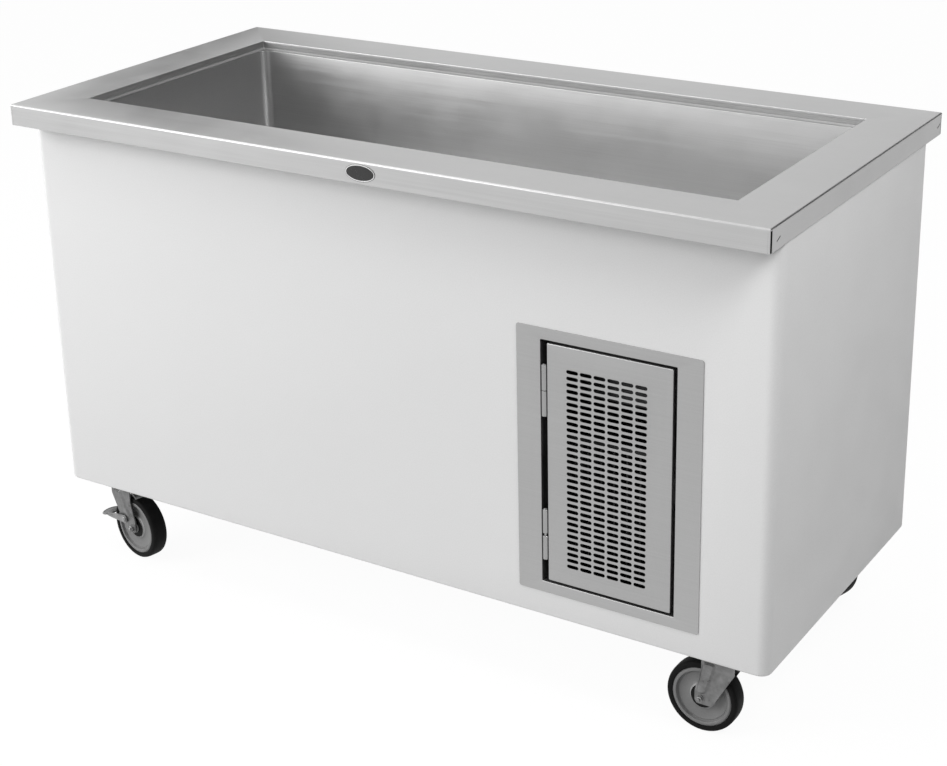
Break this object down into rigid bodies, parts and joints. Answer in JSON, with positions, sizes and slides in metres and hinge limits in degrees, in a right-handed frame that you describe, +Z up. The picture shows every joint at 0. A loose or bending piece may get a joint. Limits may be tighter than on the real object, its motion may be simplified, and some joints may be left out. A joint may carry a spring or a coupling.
{
  "type": "refrigerated serving counter",
  "caption": "Mobile refrigerated serving counter: stainless top with a deep chilled well, white moulded cabinet, slotted access door to the condensing unit, swivel casters.",
  "frame": {"origin": "on the floor, under the centre of the counter top", "axes": "+X along the long front to the right, the front faces -Y, +Z up"},
  "size_m": [1.4732, 0.7122, 0.9144],
  "materials": {
    "stainless": "satin stainless sheet",
    "galvanised": "galvanised sheet",
    "black_plastic": "black plastic",
    "white_moulding": "white glass-fibre moulding, low gloss",
    "foam": "rigid urethane foam",
    "copper": "drawn copper tube",
    "brass": "cast brass",
    "zinc": "bright zinc plate",
    "black_enamel": "black enamel",
    "aluminium": "mill finish",
    "grey_plastic": "grey moulded wheel centre",
    "tyre_rubber": "black rubber tread"
  },
  "bodies": {
    "cabinet": {"counter_top": "stainless", "cold_pan": "stainless", "drain_fitting": "stainless", "grille_frame": "stainless", "hinge_upper_frame_leaf": "stainless", "hinge_lower_frame_leaf": "stainless", "end_channel_left": "galvanised", "end_channel_right": "galvanised", "insulation_case": "galvanised", "base_deck": "galvanised", "unit_base": "galvanised", "control_box": "galvanised", "drain_pipe": "galvanised", "breaker_frame": "black_plastic", "cord_gland": "black_plastic", "terminal_cover": "black_plastic", "door_catch": "black_plastic", "badge_plate": "black_plastic", "body_shell": "white_moulding", "pan_insulation": "foam", "evaporator_coil": "copper", "suction_line": "copper", "liquid_line": "copper", "expansion_line": "copper", "filter_drier": "copper", "drain_valve": "brass", "compressor": "black_enamel", "fan_shroud": "black_enamel", "fan_motor": "black_enamel", "condenser_coil": "aluminium", "front_left_caster_plate": "zinc", "front_right_caster_plate": "zinc", "rear_left_caster_plate": "zinc", "rear_right_caster_plate": "zinc"},
    "door": {"grille_door": "stainless", "hinge_upper_door_leaf": "stainless", "hinge_lower_door_leaf": "stainless"},
    "fan": {"fan_blade": "aluminium"},
    "knob": {"thermostat_knob": "black_plastic"},
    "rocker": {"power_switch": "black_plastic"},
    "strainer": {"drain_strainer": "stainless"},
    "lever": {"drain_lever": "zinc"},
    "front_left_swivel": {"front_left_fork": "zinc", "front_left_axle_bolt": "zinc"},
    "front_left_wheel": {"front_left_wheel_core": "grey_plastic", "front_left_tyre": "tyre_rubber"},
    "front_left_pedal": {"front_left_brake_pedal": "zinc"},
    "front_right_swivel": {"front_right_fork": "zinc", "front_right_axle_bolt": "zinc"},
    "front_right_wheel": {"front_right_wheel_core": "grey_plastic", "front_right_tyre": "tyre_rubber"},
    "rear_left_swivel": {"rear_left_fork": "zinc", "rear_left_axle_bolt": "zinc"},
    "rear_left_wheel": {"rear_left_wheel_core": "grey_plastic", "rear_left_tyre": "tyre_rubber"},
    "rear_left_pedal": {"rear_left_brake_pedal": "zinc"},
    "rear_right_swivel": {"rear_right_fork": "zinc", "rear_right_axle_bolt": "zinc"},
    "rear_right_wheel": {"rear_right_wheel_core": "grey_plastic", "rear_right_tyre": "tyre_rubber"}
  },
  "joints": [
    {"name": "door_hinge", "type": "hinge", "parent": "cabinet", "child": "door", "pos_m": [0.336, -0.3033, 0.4373], "axis": [0, 0, -1], "range_deg": [0, 115]},
    {"name": "fan_spin", "type": "hinge", "parent": "cabinet", "child": "fan", "pos_m": [0.455, -0.1537, 0.3242], "axis": [0, 1, 0], "continuous": true},
    {"name": "thermostat_turn", "type": "hinge", "parent": "cabinet", "child": "knob", "pos_m": [0.415, -0.2303, 0.5954], "axis": [0, -1, 0], "range_deg": [0, 270]},
    {"name": "power_rock", "type": "hinge", "parent": "cabinet", "child": "rocker", "pos_m": [0.495, -0.228, 0.5954], "axis": [1, 0, 0], "range_deg": [-8, 8]},
    {"name": "strainer_lift", "type": "slide", "parent": "cabinet", "child": "strainer", "axis": [0, 0, 1], "range_m": [0, 0.06]},
    {"name": "drain_lever_turn", "type": "hinge", "parent": "cabinet", "child": "lever", "pos_m": [-0.5, 0.0303, 0.108], "axis": [0, 1, 0], "range_deg": [0, 90]},
    {"name": "front_left_caster_swivel", "type": "hinge", "parent": "cabinet", "child": "front_left_swivel", "pos_m": [-0.6341, -0.2498, 0.1435], "axis": [0, 0, 1], "continuous": true},
    {"name": "front_left_wheel_spin", "type": "hinge", "parent": "front_left_swivel", "child": "front_left_wheel", "pos_m": [-0.60476, -0.25604, 0.0635], "axis": [-0.2079, -0.9781, 0], "continuous": true},
    {"name": "front_left_brake", "type": "hinge", "parent": "front_left_swivel", "child": "front_left_pedal", "pos_m": [-0.62881, -0.27301, 0.0785], "axis": [-0.2079, -0.9781, 0], "range_deg": [0, 12]},
    {"name": "front_right_caster_swivel", "type": "hinge", "parent": "cabinet", "child": "front_right_swivel", "pos_m": [0.6341, -0.2498, 0.1435], "axis": [0, 0, 1], "continuous": true},
    {"name": "front_right_wheel_spin", "type": "hinge", "parent": "front_right_swivel", "child": "front_right_wheel", "pos_m": [0.6041, -0.2498, 0.0635], "axis": [0, 1, 0], "continuous": true},
    {"name": "rear_left_caster_swivel", "type": "hinge", "parent": "cabinet", "child": "rear_left_swivel", "pos_m": [-0.6341, 0.2498, 0.1435], "axis": [0, 0, 1], "continuous": true},
    {"name": "rear_left_wheel_spin", "type": "hinge", "parent": "rear_left_swivel", "child": "rear_left_wheel", "pos_m": [-0.60591, 0.26006, 0.0635], "axis": [0.342, -0.9397, 0], "continuous": true},
    {"name": "rear_left_brake", "type": "hinge", "parent": "rear_left_swivel", "child": "rear_left_pedal", "pos_m": [-0.61731, 0.23292, 0.0785], "axis": [0.342, -0.9397, 0], "range_deg": [0, 12]},
    {"name": "rear_right_caster_swivel", "type": "hinge", "parent": "cabinet", "child": "rear_right_swivel", "pos_m": [0.6341, 0.2498, 0.1435], "axis": [0, 0, 1], "continuous": true},
    {"name": "rear_right_wheel_spin", "type": "hinge", "parent": "rear_right_swivel", "child": "rear_right_wheel", "pos_m": [0.60512, 0.25756, 0.0635], "axis": [0.2588, 0.9659, 0], "continuous": true}
  ]
}
